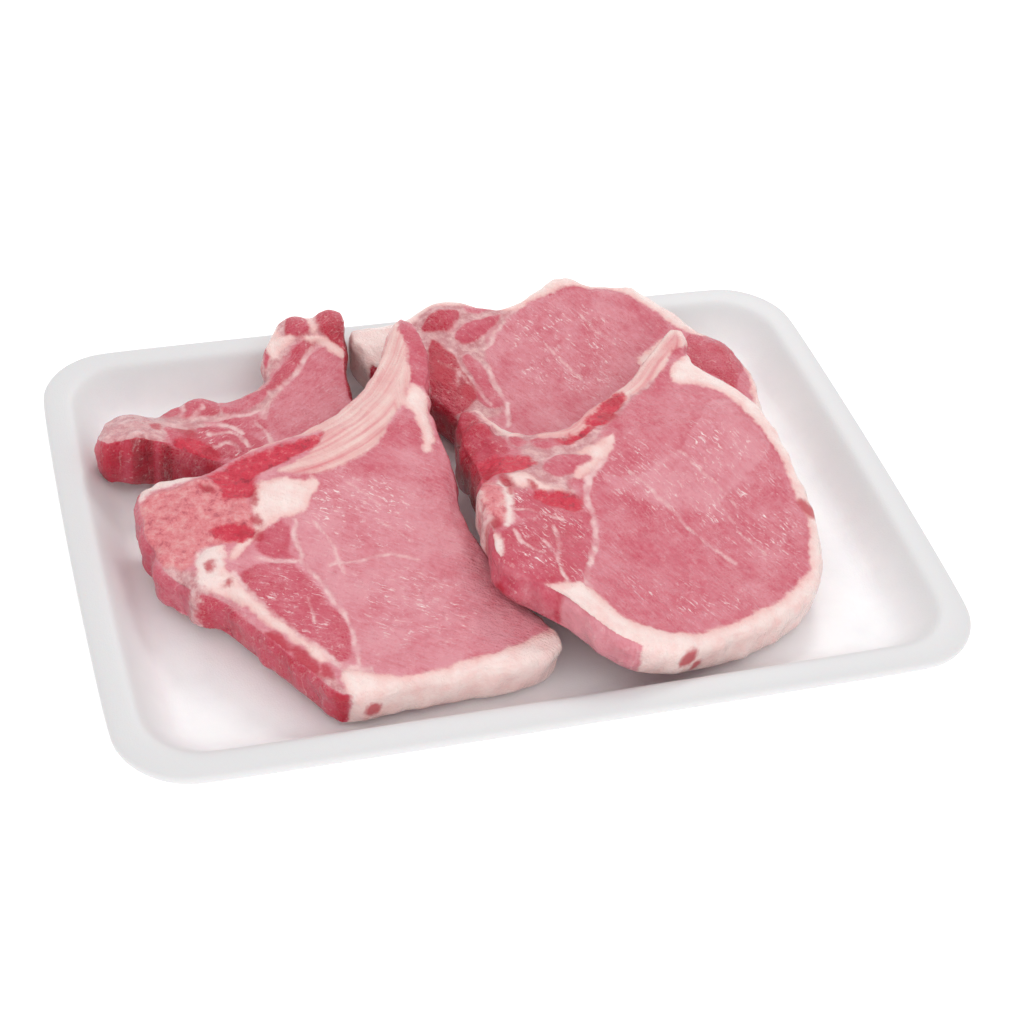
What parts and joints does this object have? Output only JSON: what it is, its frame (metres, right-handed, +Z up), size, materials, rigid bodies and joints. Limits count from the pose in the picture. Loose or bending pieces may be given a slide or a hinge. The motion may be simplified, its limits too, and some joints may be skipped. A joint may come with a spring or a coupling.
{
  "type": "meat tray pack",
  "caption": "Shallow moulded foam tray with a flat rim, holding raw bone-in pork chops that overlap: pink lean, cream fat edge, rib and backbone.",
  "frame": {"origin": "centre of the tray's underside, on the surface it rests on", "axes": "+X along the tray's length, +Y away from the near long side, +Z up"},
  "size_m": [0.27, 0.196, 0.0402],
  "materials": {
    "foam": "white expanded polystyrene foam, satin",
    "pork_lean": "raw pork lean, moist, pink with fine grain",
    "pork_fat": "raw pork fat, cream pink, smooth and moist",
    "pork_bone": "sawn rib and backbone, cream to red marrow"
  },
  "bodies": {
    "root": {"tray": "foam", "back_left_lean": "pork_lean", "back_left_fat": "pork_fat", "back_left_bone": "pork_bone", "back_right_lean": "pork_lean", "back_right_fat": "pork_fat", "front_left_lean": "pork_lean", "front_left_fat": "pork_fat", "front_left_bone": "pork_bone", "front_right_lean": "pork_lean", "front_right_fat": "pork_fat", "front_right_bone": "pork_bone"}
  },
  "joints": []
}
